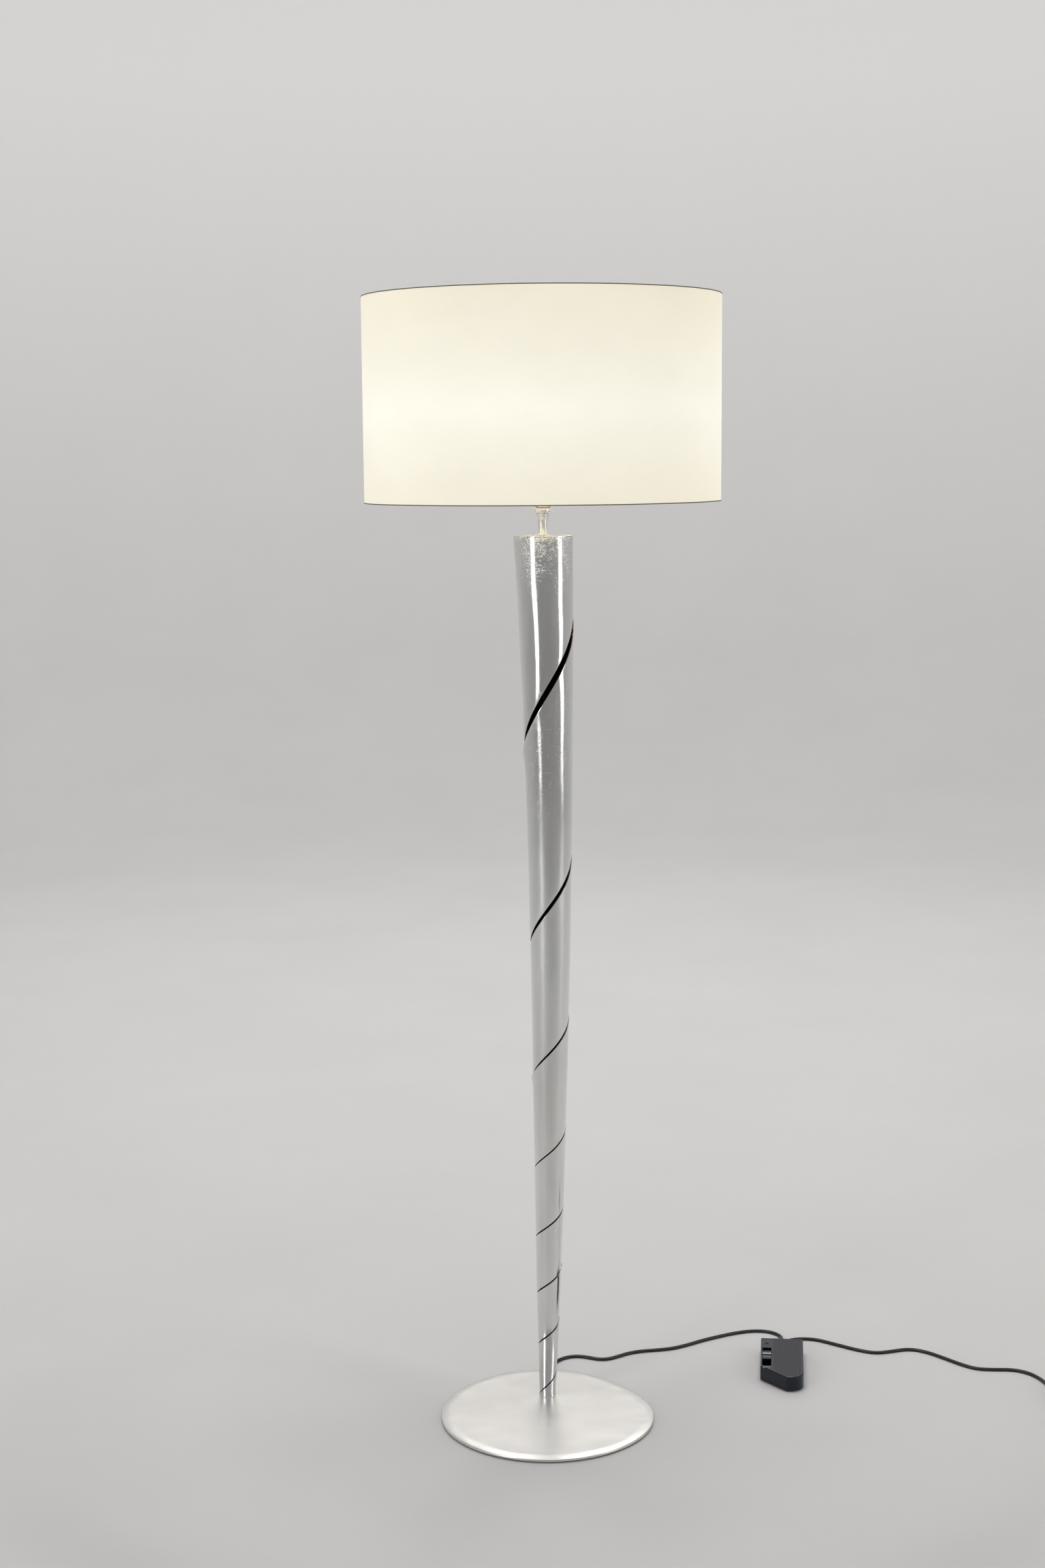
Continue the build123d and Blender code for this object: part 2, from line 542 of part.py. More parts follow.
make_base()
make_post()
make_neck()
make_lampholder()
make_bulb()
make_shade()
make_dimmer_case()
make_dimmer_inside()
make_slider()
make_cords()
make_plug()
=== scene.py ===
import math

import bmesh
import bpy
from mathutils import Matrix, Vector, noise


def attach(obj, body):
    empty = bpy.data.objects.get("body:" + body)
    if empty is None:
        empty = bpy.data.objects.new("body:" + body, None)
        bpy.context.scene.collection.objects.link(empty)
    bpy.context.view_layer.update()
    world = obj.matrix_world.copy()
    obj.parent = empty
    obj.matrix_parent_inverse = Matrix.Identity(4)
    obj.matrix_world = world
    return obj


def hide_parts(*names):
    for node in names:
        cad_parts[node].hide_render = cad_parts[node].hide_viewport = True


# Floor lamp: a silver-leafed cone with a winding slit, a thin round plate, a glowing drum shade and a
# foot dimmer in its cord. Lengths are in millimetres until they are put into a mesh, which is in metres.

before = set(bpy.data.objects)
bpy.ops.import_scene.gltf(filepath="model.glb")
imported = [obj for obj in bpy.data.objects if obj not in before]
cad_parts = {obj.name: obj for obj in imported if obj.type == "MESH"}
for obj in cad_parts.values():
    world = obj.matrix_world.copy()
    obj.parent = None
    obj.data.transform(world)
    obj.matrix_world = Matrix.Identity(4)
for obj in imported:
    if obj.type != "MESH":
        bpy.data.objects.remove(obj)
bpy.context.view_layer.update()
MM = 0.001

# ---------------------------------------------------------------- the object's sizes
SHADE_R = 275.0
SHADE_BOTTOM = 1462.0
SHADE_HEIGHT = 312.0
SHADE_TOP = SHADE_BOTTOM + SHADE_HEIGHT
BULB_LIGHT_Z = 1.60              # metres, the height where the shade glows most

PLATE_R = 172.5
PLATE_CENTRE = (-1.9, -65.4)
PLATE_BOTTOM = 2.0
PLATE_TOP = 9.0
PLATE_FLAT_DEPTH = 11.4          # how far the rear right of the rim is drawn in
PLATE_FLAT_AT = 38.6             # degrees from +X
PLATE_FLAT_SPREAD = 33.4         # degrees
TUBE_HOLE_R = 5.15               # in the plate, for the threaded tube
NUT_RECESS_R = 17.0              # in the plate, for the washer and nut

POST_FOOT = PLATE_TOP
POST_TOP = 1408.4
POST_R_FOOT = 12.9
POST_R_TOP = 46.5
CAP_THICK = 2.0
SHEET = 2.2                      # thickness of the cone's sheet
SLIT_END = 7.42                  # turns, behind the post
LIPS = ((6.75, 2.3), (4.75, 1.9), (2.25, 1.0), (1.25, 0.9), (3.6, 0.6))   # turn, reach

CORD_D = 5.6
CORD_R = CORD_D / 2
LAY = CORD_R + 0.05              # the height of a cord's centre where it lies on the floor
CORD_EXIT = (0, 36, 30)
RELIEF_LENGTH = 20.0

DIMMER_CORNER = (368.0, 187.0)
DIMMER_TURN = -6.5               # degrees
DIMMER_SPLIT = 9.0               # the height where the cover meets the base, and where the cords enter
DIMMER_ENTRIES = (34.0, 47.0)    # the two cords, from the left side
GROOVE_FLOOR = 25.55             # the height of the floors between the cover's ribs

COIL_CENTRE = (864.0, -12.0)
COIL_MID_R = 30.0

NECK_BOTTOM = POST_TOP + CAP_THICK
NECK_TOP = 1445.0
COLLAR_TOP = 1453.0
NECK_BORE = 5.05

# ---------------------------------------------------------------- the camera, in metres and degrees
CAMERA_PLACE = (-0.03471, -3.49901, 1.54111)
CAMERA_TILT = 81.5472
CAMERA_ROLL = -0.4858
CAMERA_LENS = 51.563             # millimetres, on a frame 36 mm tall


# ---------------------------------------------------------------- making objects
def metres(point):
    return Vector(point) * MM


def add_object(name, data, body="lamp"):
    obj = bpy.data.objects.new(name, data)
    bpy.context.scene.collection.objects.link(obj)
    if body:
        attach(obj, body)
    return obj


def mesh_object(name, points, faces, body="lamp"):
    """A smooth-shaded mesh piece from points in millimetres."""
    mesh = bpy.data.meshes.new(name)
    mesh.from_pydata([metres(p) for p in points], [], faces)
    mesh.validate()
    mesh.polygons.foreach_set("use_smooth", [True] * len(mesh.polygons))
    return add_object(name, mesh, body)


def lathe(name, outline, turns=96, body="lamp", centre=(0, 0), wobble=None):
    """A closed turned piece from its (radius, height) outline, about an upright axis."""
    points, faces = [], []
    count = len(outline)
    for step in range(turns):
        angle = 2 * math.pi * step / turns
        for r, z in outline:
            reach = r + (wobble(angle, z) if wobble else 0)
            points.append((centre[0] + reach * math.cos(angle), centre[1] + reach * math.sin(angle), z))
    for step in range(turns):
        ahead = (step + 1) % turns
        for k in range(count):
            after = (k + 1) % count
            faces.append((step * count + k, ahead * count + k, ahead * count + after, step * count + after))
    obj = mesh_object(name, points, faces, body)
    clean(obj, 0.002)
    return obj


def clean(obj, dist):
    """Merge points closer than dist millimetres, and turn all faces outward."""
    work = bmesh.new()
    work.from_mesh(obj.data)
    bmesh.ops.remove_doubles(work, verts=work.verts, dist=dist * MM)
    bmesh.ops.recalc_face_normals(work, faces=work.faces)
    work.to_mesh(obj.data)
    work.free()


def sharpen(obj, degrees):
    """Keep the edges sharp that bend by more than this."""
    obj.data.set_sharp_from_angle(angle=math.radians(degrees))


def rounded(corners, radius, steps=5):
    """An outline with each corner turned into a small arc."""
    result = []
    count = len(corners)
    for k in range(count):
        here = Vector(corners[k])
        before = Vector(corners[k - 1]) - here
        after = Vector(corners[(k + 1) % count]) - here
        reach = min(radius, 0.45 * before.length, 0.45 * after.length)
        start = here + before.normalized() * reach
        end = here + after.normalized() * reach
        for step in range(steps + 1):
            t = step / steps
            result.append(tuple(start * (1 - t) ** 2 + here * 2 * t * (1 - t) + end * t * t))
    return result


def apply_modifiers(obj):
    """Bake the modifiers into the mesh."""
    graph = bpy.context.evaluated_depsgraph_get()
    obj.data = bpy.data.meshes.new_from_object(obj.evaluated_get(graph))
    obj.modifiers.clear()


# ---------------------------------------------------------------- making materials
class Look:
    """A material built round one Principled shader."""

    def __init__(self, name, **sockets):
        self.material = bpy.data.materials.new(name)
        self.material.use_nodes = True
        self.tree = self.material.node_tree
        self.shader = self.tree.nodes["Principled BSDF"]
        for key, value in sockets.items():
            socket = self.shader.inputs[key.replace("_", " ")]
            socket.default_value = (*value, 1) if isinstance(value, tuple) and len(value) == 3 else value

    def put(self, target, socket):
        self.tree.links.new(socket, self.shader.inputs[target])

    def node(self, kind, inputs=None, **settings):
        made = self.tree.nodes.new(kind)
        for key, value in settings.items():
            setattr(made, key, value)
        for key, value in (inputs or {}).items():
            if isinstance(value, bpy.types.NodeSocket):
                self.tree.links.new(value, made.inputs[key])
            else:
                made.inputs[key].default_value = value
        return made

    def place(self, scale=(1, 1, 1), turn=(0, 0, 0)):
        """Object coordinates in metres, scaled and turned."""
        source = self.node("ShaderNodeTexCoord").outputs["Object"]
        mapping = self.node("ShaderNodeMapping", {"Vector": source, "Scale": scale, "Rotation": turn})
        return mapping.outputs["Vector"]

    def noise(self, vector, scale, detail=4.0, rough=0.55, distort=0.0):
        made = self.node("ShaderNodeTexNoise", {"Vector": vector, "Scale": scale, "Detail": detail,
                                                "Roughness": rough, "Distortion": distort})
        return made.outputs["Fac"]

    def ramp(self, fac, *stops):
        """Colours or greys at places from 0 to 1."""
        made = self.node("ShaderNodeValToRGB", {"Fac": fac})
        line = made.color_ramp
        while len(line.elements) < len(stops):
            line.elements.new(0.5)
        for element, (at, value) in zip(line.elements, stops):
            element.position = at
            element.color = (*value, 1) if isinstance(value, tuple) else (value, value, value, 1)
        return made.outputs["Color"]

    def fit(self, value, low, high, to_low=0.0, to_high=1.0):
        made = self.node("ShaderNodeMapRange", {"Value": value, "From Min": low, "From Max": high,
                                                "To Min": to_low, "To Max": to_high})
        return made.outputs["Result"]

    def math(self, operation, a, b=0.0):
        made = self.node("ShaderNodeMath", {0: a, 1: b}, operation=operation)
        return made.outputs["Value"]

    def mix(self, fac, a, b):
        made = self.node("ShaderNodeMix", data_type="RGBA")
        for key, value in ((0, fac), (6, a), (7, b)):
            if isinstance(value, bpy.types.NodeSocket):
                self.tree.links.new(value, made.inputs[key])
            else:
                made.inputs[key].default_value = (*value, 1) if isinstance(value, tuple) else value
        return made.outputs[2]

    def axis(self, vector, name):
        return self.node("ShaderNodeSeparateXYZ", {"Vector": vector}).outputs[name]

    def bump(self, height, strength, distance):
        """distance is in millimetres."""
        inputs = {"Height": height, "Strength": strength, "Distance": distance * MM}
        return self.node("ShaderNodeBump", inputs).outputs["Normal"]


def paint(obj, *looks):
    obj.data.materials.clear()
    for look in looks:
        obj.data.materials.append(look.material)


def paint_nodes(look, *names):
    for name in names:
        paint(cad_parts[name], look)


# ---------------------------------------------------------------- materials
SCRATCHES_Z = 1.10               # metres, the height where the leaf has most scratches
FLAKES_FROM_Z = 1.315            # metres, where flakes start
FLAKES_FULL_Z = 1.412               # metres, where flakes are densest


def silver_leaf(name, rough=(0.07, 0.15)):
    """Hand-laid silver leaf, burnished: a finely uneven skin, a few hair scratches, flakes near the top."""
    look = Look(name, Metallic=1.0)
    place = look.place()
    tone = look.noise(look.place(scale=(16, 16, 2.5)), 1.0, 5, 0.6)
    colour = look.ramp(tone, (0.28, (0.70, 0.685, 0.665)), (0.5, (0.80, 0.80, 0.79)),
                       (0.72, (0.87, 0.885, 0.90)))
    pits = look.fit(look.noise(place, 260, 5, 0.75), 0.36, 0.30)
    colour = look.mix(look.math("MULTIPLY", pits, 0.35), colour, (0.42, 0.39, 0.36))
    hairs = look.noise(look.place(scale=(700, 700, 40), turn=(0.45, 0.35, 0)), 1.0, 2, 0.4, 0.6)
    crossed = look.noise(look.place(scale=(40, 700, 700), turn=(0.2, -0.6, 0.3)), 1.0, 2, 0.4, 0.5)
    hairs = look.math("MAXIMUM", look.fit(hairs, 0.655, 0.69), look.fit(crossed, 0.665, 0.70))
    z = look.axis(place, "Z")
    worn = look.fit(look.math("ABSOLUTE", look.math("SUBTRACT", z, SCRATCHES_Z)), 0.16, 0.04, 0.0, 0.14)
    worn = look.math("ADD", look.noise(place, 8, 2), worn)
    hairs = look.math("MULTIPLY", hairs, look.fit(worn, 0.48, 0.62))
    rough_here = look.fit(look.noise(look.place(scale=(60, 60, 9)), 1.0, 6, 0.65), 0.3, 0.7, *rough)
    rough_here = look.math("ADD", rough_here, look.math("MULTIPLY", hairs, 0.25))
    rough_here = look.math("ADD", rough_here, look.fit(z, 0.17, 0.06, 0.0, 0.10))
    fine = look.noise(place, 520, 5, 0.7)
    soft = look.noise(look.place(scale=(95, 95, 32)), 1.0, 4, 0.6)
    height = look.math("ADD", look.math("MULTIPLY", fine, 0.6), look.math("MULTIPLY", soft, 0.9))
    height = look.math("ADD", height, look.math("MULTIPLY", hairs, 0.12))
    near_top = look.math("POWER", look.fit(z, 1.325, FLAKES_FULL_Z), 1.6)
    patches = look.math("ADD", look.noise(place, 30, 3), look.math("MULTIPLY", near_top, 0.26))
    loose = look.math("ADD", look.noise(place, 400, 5, 0.75), look.math("MULTIPLY", patches, 0.30))
    loose = look.math("MULTIPLY", look.fit(loose, 0.745, 0.775), look.fit(z, FLAKES_FROM_Z, 1.36))
    loose = look.math("MULTIPLY", loose, 0.8)
    colour = look.mix(loose, colour, (0.76, 0.75, 0.73))
    look.put("Base Color", colour)
    look.put("Roughness", look.math("ADD", rough_here, look.math("MULTIPLY", loose, 0.42)))
    height = look.math("ADD", height, look.math("MULTIPLY", loose, 1.1))
    look.put("Normal", look.bump(height, 0.35, 0.22))
    return look


def raw_sheet_edge():
    """The sheet's edge along the slit: leaf that is worn through to red-brown bole, most of all high up."""
    look = Look("sheet_edge", Metallic=0.9, Roughness=0.34)
    place = look.place()
    wear = look.noise(place, 150, 5, 0.7)
    high = look.fit(look.axis(place, "Z"), 0.85, 1.15, -0.10, 0.16)
    bare = look.fit(look.math("ADD", wear, high), 0.52, 0.60)
    leaf = look.ramp(wear, (0.3, (0.42, 0.40, 0.38)), (0.7, (0.72, 0.71, 0.70)))
    look.put("Base Color", look.mix(bare, leaf, (0.055, 0.016, 0.009)))
    look.put("Metallic", look.fit(bare, 0, 1, 0.95, 0.2))
    look.put("Normal", look.bump(wear, 0.3, 0.3))
    return look


def dark_inside():
    """The sheet's unfinished inner face, seen through the slit; its near black is painted shade."""
    look = Look("cone_inside", Roughness=0.85)
    shade_mottle = look.noise(look.place(), 40, 5, 0.6)
    look.put("Base Color", look.ramp(shade_mottle, (0.3, (0.008, 0.007, 0.006)), (0.7, (0.03, 0.026, 0.023))))
    look.put("Normal", look.bump(look.noise(look.place(), 260, 4), 0.3, 0.4))
    return look


def plate_leaf():
    """The plate's leaf: softer, warmer satin with faint brushed streaks."""
    look = Look("plate_leaf", Metallic=1.0)
    place = look.place()
    cloud = look.noise(look.place(scale=(9, 16, 9)), 1.0, 6, 0.6)
    colour = look.ramp(cloud, (0.3, (0.71, 0.695, 0.67)), (0.52, (0.76, 0.745, 0.72)),
                       (0.75, (0.80, 0.79, 0.77)))
    pits = look.fit(look.noise(place, 300, 5, 0.75), 0.36, 0.30)
    colour = look.mix(look.math("MULTIPLY", pits, 0.15), colour, (0.50, 0.47, 0.44))
    grain = look.noise(look.place(scale=(60, 420, 60)), 1.0, 5, 0.6)
    look.put("Base Color", colour)
    look.put("Roughness", look.fit(look.noise(place, 26, 6, 0.65), 0.3, 0.7, 0.285, 0.345))
    height = look.math("ADD", look.math("MULTIPLY", look.noise(place, 200, 3, 0.5), 0.5),
                       look.math("MULTIPLY", grain, 0.25))
    look.put("Normal", look.bump(height, 0.08, 0.2))
    return look


def shade_cloth(name, glow):
    """Ivory cloth on a stiff lining, with a fine weave. It glows most at the bulb's height."""
    look = Look(name, Roughness=0.85, Sheen_Weight=0.1)
    parts = look.node("ShaderNodeSeparateXYZ", {"Vector": look.place()})
    z = parts.outputs["Z"]
    around = look.math("ARCTAN2", parts.outputs["X"], parts.outputs["Y"])
    wrap = look.node("ShaderNodeCombineXYZ", {"X": look.math("MULTIPLY", around, SHADE_R * MM), "Y": z})
    threads = []
    for scale in ((1900, 160, 1), (160, 1900, 1)):
        lane = look.node("ShaderNodeMapping", {"Vector": wrap.outputs["Vector"], "Scale": scale})
        threads.append(look.noise(lane.outputs["Vector"], 1.0, 2))
    weave = look.math("MULTIPLY", look.math("ADD", *threads), 0.5)
    look.put("Base Color", look.ramp(weave, (0.38, (0.625, 0.59, 0.475)), (0.6, (0.695, 0.665, 0.555))))
    far = look.math("ABSOLUTE", look.math("SUBTRACT", z, BULB_LIGHT_Z))
    near = look.math("POWER", look.fit(far, 0.20, 0.0), 1.3)
    light = look.ramp(near, (0.0, (0.80, 0.74, 0.58)), (1.0, (1.0, 0.98, 0.90)))
    cloud = look.noise(look.place(scale=(7, 7, 11)), 1.0, 4, 0.6)
    strength = look.math("MULTIPLY", look.fit(cloud, 0.3, 0.7, 0.96 * glow, 1.04 * glow),
                         look.fit(weave, 0.35, 0.65, 0.97, 1.03))
    look.put("Emission Color", light)
    look.put("Emission Strength", strength)
    look.put("Normal", look.bump(weave, 0.25, 0.2))
    return look


def trim_tape():
    # the tape's dark olive is painted shade: it lets no light through, unlike the glowing cloth beside it
    look = Look("trim_tape", Roughness=0.8)
    place = look.place()
    rib = look.noise(look.place(scale=(700, 700, 120)), 1.0, 3)
    look.put("Base Color", look.ramp(rib, (0.3, (0.15, 0.14, 0.10)), (0.7, (0.24, 0.225, 0.17))))
    look.put("Normal", look.bump(look.noise(place, 1400, 3), 0.4, 0.2))
    return look


def gloss_black(name="gloss_black", rough=(0.12, 0.24), shine=0.5):
    """Moulded glossy plastic with a faint skin, dust and light rubbing."""
    # the bluish specular tint is a painted reflection colour, as of cool daylight on the gloss
    look = Look(name, Specular_Tint=(0.72, 0.80, 1.0), Specular_IOR_Level=shine)
    place = look.place()
    dust = look.fit(look.noise(place, 700, 6, 0.8), 0.62, 0.78)
    dust = look.math("MULTIPLY", dust, 0.2)
    look.put("Base Color", look.mix(dust, (0.005, 0.005, 0.007), (0.06, 0.06, 0.065)))
    look.put("Roughness", look.fit(look.noise(place, 55, 6, 0.7), 0.3, 0.7, *rough))
    look.put("Normal", look.bump(look.noise(place, 1500, 3), 0.05, 0.05))
    return look


def soft_black():
    """Flexible PVC: dark, half gloss, with cloudy marks."""
    look = Look("soft_black")
    place = look.place()
    marks = look.noise(place, 90, 6, 0.75)
    look.put("Base Color", look.ramp(marks, (0.3, (0.005, 0.005, 0.006)), (0.7, (0.014, 0.014, 0.016))))
    look.put("Roughness", look.fit(marks, 0.3, 0.7, 0.30, 0.48))
    look.put("Normal", look.bump(look.noise(place, 600, 4), 0.12, 0.15))
    return look


def plain(name, dark, light, rough=(0.35, 0.5), metallic=0.0, scale=60, bump=0.08, **sockets):
    """A mottled solid material between two close colours."""
    look = Look(name, Metallic=metallic, **sockets)
    place = look.place()
    tone = look.noise(place, scale, 6, 0.65)
    look.put("Base Color", look.ramp(tone, (0.3, dark), (0.7, light)))
    look.put("Roughness", look.fit(look.noise(place, scale * 1.7, 4), 0.3, 0.7, *rough))
    look.put("Normal", look.bump(look.noise(place, scale * 9, 4), bump, 0.15))
    return look


def glowing(name, colour, strength):
    """A pale part of the bulb that gives light of nearly one colour."""
    look = Look(name, Roughness=0.4)
    cloud = look.noise(look.place(), 50, 3)
    look.put("Base Color", look.ramp(cloud, (0.3, (0.86, 0.84, 0.78)), (0.7, (0.92, 0.90, 0.84))))
    brighter = tuple(min(1, c * 1.04) for c in colour)
    look.put("Emission Color", look.ramp(cloud, (0.3, colour), (0.7, brighter)))
    look.shader.inputs["Emission Strength"].default_value = strength
    return look


LEAF = silver_leaf("silver_leaf")
NECK_LEAF = silver_leaf("neck_leaf", rough=(0.285, 0.36))
EDGE = raw_sheet_edge()
INSIDE = dark_inside()
PLATE = plate_leaf()
CLOTH = shade_cloth("shade_cloth", 0.56)
LINING = shade_cloth("shade_lining", 0.06)
TAPE = trim_tape()
GLOSS = gloss_black()
# weaker gloss for the groove floors: painted shade in the grooves, and dust
GROOVE = gloss_black("groove_black", shine=0.18)
SOFT = soft_black()
SATIN_BLACK = plain("satin_black", (0.010, 0.010, 0.011), (0.022, 0.022, 0.024), (0.32, 0.45))
ZINC = plain("zinc_steel", (0.42, 0.43, 0.45), (0.60, 0.61, 0.62), (0.25, 0.42), 1.0, 120)
NICKEL = plain("nickel", (0.60, 0.59, 0.56), (0.74, 0.73, 0.70), (0.14, 0.26), 1.0, 90)
BRASS = plain("brass", (0.55, 0.38, 0.14), (0.72, 0.53, 0.24), (0.22, 0.38), 1.0, 120)
BARE = plain("bare_aluminium", (0.55, 0.56, 0.57), (0.72, 0.73, 0.74), (0.28, 0.42), 1.0, 110)
# the centre tube's near black is painted shade for the dark hollow seen through the slit
TUBE_SHADE_BLACK = plain("tube_painted_shade", (0.010, 0.010, 0.011), (0.030, 0.028, 0.027), (0.45, 0.6), 0.5, 150)
FELT = plain("black_felt", (0.006, 0.006, 0.006), (0.020, 0.019, 0.018), (0.9, 1.0), 0.0, 500, 0.6,
             Sheen_Weight=0.4)
CERAMIC = plain("porcelain", (0.74, 0.72, 0.67), (0.82, 0.80, 0.76), (0.12, 0.22), 0.0, 40, 0.03)
WHITE_PAINT = plain("white_paint", (0.76, 0.75, 0.70), (0.86, 0.85, 0.81), (0.35, 0.5), 0.0, 70)
WHITE_PLASTIC = plain("white_plastic", (0.78, 0.77, 0.73), (0.86, 0.86, 0.83), (0.25, 0.35), 0.0, 50)
BOARD = plain("board_green", (0.012, 0.07, 0.028), (0.03, 0.14, 0.06), (0.25, 0.4), 0.0, 150)
GREY_PART = plain("component_grey", (0.02, 0.02, 0.022), (0.05, 0.05, 0.055), (0.35, 0.5), 0.0, 150)
BLUE_PART = plain("capacitor_blue", (0.02, 0.06, 0.22), (0.04, 0.10, 0.32), (0.2, 0.32), 0.0, 100)
COPPER = plain("copper_wire", (0.45, 0.16, 0.07), (0.65, 0.27, 0.12), (0.2, 0.35), 1.0, 300)
LEAD = plain("lead_brown", (0.10, 0.035, 0.014), (0.16, 0.06, 0.025), (0.3, 0.45), 0.0, 100)
FUSE = plain("fuse_glass", (0.70, 0.74, 0.74), (0.82, 0.85, 0.85), (0.05, 0.1), 0.0, 60, 0.02,
             Transmission_Weight=0.8)
SMOKE = plain("smoke_window", (0.002, 0.002, 0.002), (0.004, 0.004, 0.005), (0.3, 0.4), 0.0, 60, 0.02)
PHOSPHOR = glowing("phosphor", (1.0, 0.82, 0.5), 1.5)
OPAL = glowing("opal_diffuser", (1.0, 0.90, 0.72), 3.0)


# ---------------------------------------------------------------- the post's shape
def post_share(z):
    """0 at the cone's foot and 1 at its top."""
    return (z - POST_FOOT) / (POST_TOP - POST_FOOT)


def post_radius(z):
    s = post_share(z)
    return POST_R_FOOT + (POST_R_TOP - POST_R_FOOT) * s + 29.0 * s * (1 - s) * (0.68 - s)


def post_lean(z):
    """How far the cone's middle stands to the right at this height."""
    s = post_share(z)
    return -1.8 + 2.4 * s + s * (1 - s) * (18 + 26 * s)


def slit_height(turn):
    """The height of the slit's middle, after this many turns."""
    return 30.0 + 86.0 * turn + 0.165 * max(turn, 0.0) ** 4.16


def slit_width(turn):
    """The slit's upright width, after this many turns."""
    return 3.0 + 14.0 * (max(turn - 4.0, 0.0) / 3.0) ** 2


def lip_reach(turn):
    """How far the strip's upper edge flares out under the slit at this turn."""
    reach = 0.22 + 0.2 * noise.noise(Vector((turn * 3.1, 2.0, 0.0)))
    for at, more in LIPS:
        reach += more * math.exp(-((turn - at) / 0.11) ** 2)
    return reach


def strip_edges(turn):
    """The lowest and highest height of the strip that stands on the slit at this turn."""
    low = max(POST_FOOT, slit_height(turn) + slit_width(turn) / 2) if turn > -0.5 else POST_FOOT
    high = slit_height(turn + 1) - slit_width(turn + 1) / 2
    return low, high


def sheet_point(turn, z, low, high):
    """A point of the cone's outer face, with its worked lips and the soft dents of hand forming."""
    angle = 2 * math.pi * turn - math.pi / 2
    x, y = math.cos(angle), math.sin(angle)
    r = post_radius(z)
    if high is not None:
        r += lip_reach(turn + 1) * math.exp(-(high - z) / (5 + 0.10 * r))
    if low > POST_FOOT:
        r -= 0.5 * math.exp(-(z - low) / 8)
    dent = noise.noise(Vector((x * 1.6, y * 1.6, z / 85)))
    ripple = noise.noise(Vector((x * 4.5, y * 4.5, z / 26 + 7)))
    r += 0.9 * math.exp(-(z - POST_FOOT) / 1.5)          # the weld's fillet on the plate
    calm = min(1.0, (POST_TOP - z) / 40)
    r += (0.35 * dent + 0.10 * ripple) * (0.5 + post_share(z)) * calm
    return (post_lean(z) + r * x, r * y, z)


def eased(count):
    """Shares from 0 to 1 that crowd towards both ends."""
    return [0.5 - 0.5 * math.cos(math.pi * step / (count - 1)) for step in range(count)]


def make_post():
    """One strip winds up over seven turns from a point at the foot and ends in the ring at the top."""
    per_turn, rows = 96, 22
    start = round(-1.235 * per_turn)
    ring_from = round((SLIT_END - 1) * per_turn)
    ring_to = round(SLIT_END * per_turn)
    shares = eased(rows)
    split = slit_height(SLIT_END) + slit_width(SLIT_END) / 2
    points, faces = [], []

    def column(turn, heights, low, high):
        first = len(points)
        points.extend(sheet_point(turn, z, low, high) for z in heights)
        return first

    def zip_columns(first, second, count):
        for row in range(count - 1):
            faces.append((first + row, second + row, second + row + 1, first + row + 1))

    previous = None
    for step in range(start, ring_from + 1):
        turn = step / per_turn
        low, high = strip_edges(turn)
        high = max(high, low + 0.4)
        here = column(turn, [low + (high - low) * s for s in shares], low, high)
        if previous is not None:
            zip_columns(previous, here, rows)
        previous = here

    high_in = strip_edges(ring_from / per_turn)[1]
    previous = None
    for step in range(ring_from, ring_to + 1):
        turn = step / per_turn
        low = min(slit_height(turn) + slit_width(turn) / 2, split)
        ease = (step - ring_from) / (ring_to - ring_from)
        top = high_in + (split - high_in) * min(1.0, 12 * ease)
        heights = [low + (top - low) * s for s in shares] + [split]
        # the lips of the strip below fade out past its end
        here = column(turn, heights, low, high_in if ease == 0 else None)
        if previous is not None:
            zip_columns(previous, here, rows + 1)
        previous = here

    previous = None
    for step in range(ring_from, ring_to + 1):
        turn = step / per_turn
        heights = [split + (POST_TOP - split) * k / 6 for k in range(7)]
        here = column(turn, heights, slit_height(turn), None)
        if previous is not None:
            zip_columns(previous, here, 7)
        previous = here

    post = mesh_object("post_sheet", points, faces)
    clean(post, 0.05)
    # the inner faces take the near-black painted shade of the cone's hollow
    paint(post, LEAF, INSIDE, EDGE)
    solid = post.modifiers.new("sheet", "SOLIDIFY")
    solid.thickness = SHEET * MM
    solid.offset = -1
    solid.material_offset = 1
    solid.material_offset_rim = 2
    solid.use_even_offset = True
    worn = post.modifiers.new("worn_edges", "BEVEL")
    worn.width = 0.35 * MM
    worn.segments = 2
    worn.limit_method = "ANGLE"
    worn.angle_limit = math.radians(60)
    worn.harden_normals = False
    apply_modifiers(post)
    sharpen(post, 40)
    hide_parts("spiral_shell")


def make_cap():
    """The cone's thin lid, with a leafed edge that is not quite even."""
    hole, top = 5.2, POST_TOP + CAP_THICK
    outline = rounded([(hole, POST_TOP), (POST_R_TOP, POST_TOP), (POST_R_TOP, top), (hole, top)], 0.6)

    def wobble(angle, _):
        return 0.35 * noise.noise(Vector((math.cos(angle) * 5, math.sin(angle) * 5, 3)))

    cap = lathe("post_lid", outline, 128, centre=(post_lean(POST_TOP), 0), wobble=wobble)
    sharpen(cap, 50)
    paint(cap, LEAF)
    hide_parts("top_cap")


def smooth_line(points, steps=8):
    """A Catmull-Rom line through the points."""
    line = []
    padded = [points[0], *points, points[-1]]
    for a, b, c, d in zip(padded, padded[1:], padded[2:], padded[3:]):
        a, b, c, d = Vector(a), Vector(b), Vector(c), Vector(d)
        for step in range(steps):
            t = step / steps
            line.append(tuple(0.5 * (2 * b + (c - a) * t + (2 * a - 5 * b + 4 * c - d) * t * t
                                     + (3 * b - a - 3 * c + d) * t ** 3)))
    line.append(tuple(points[-1]))
    return line


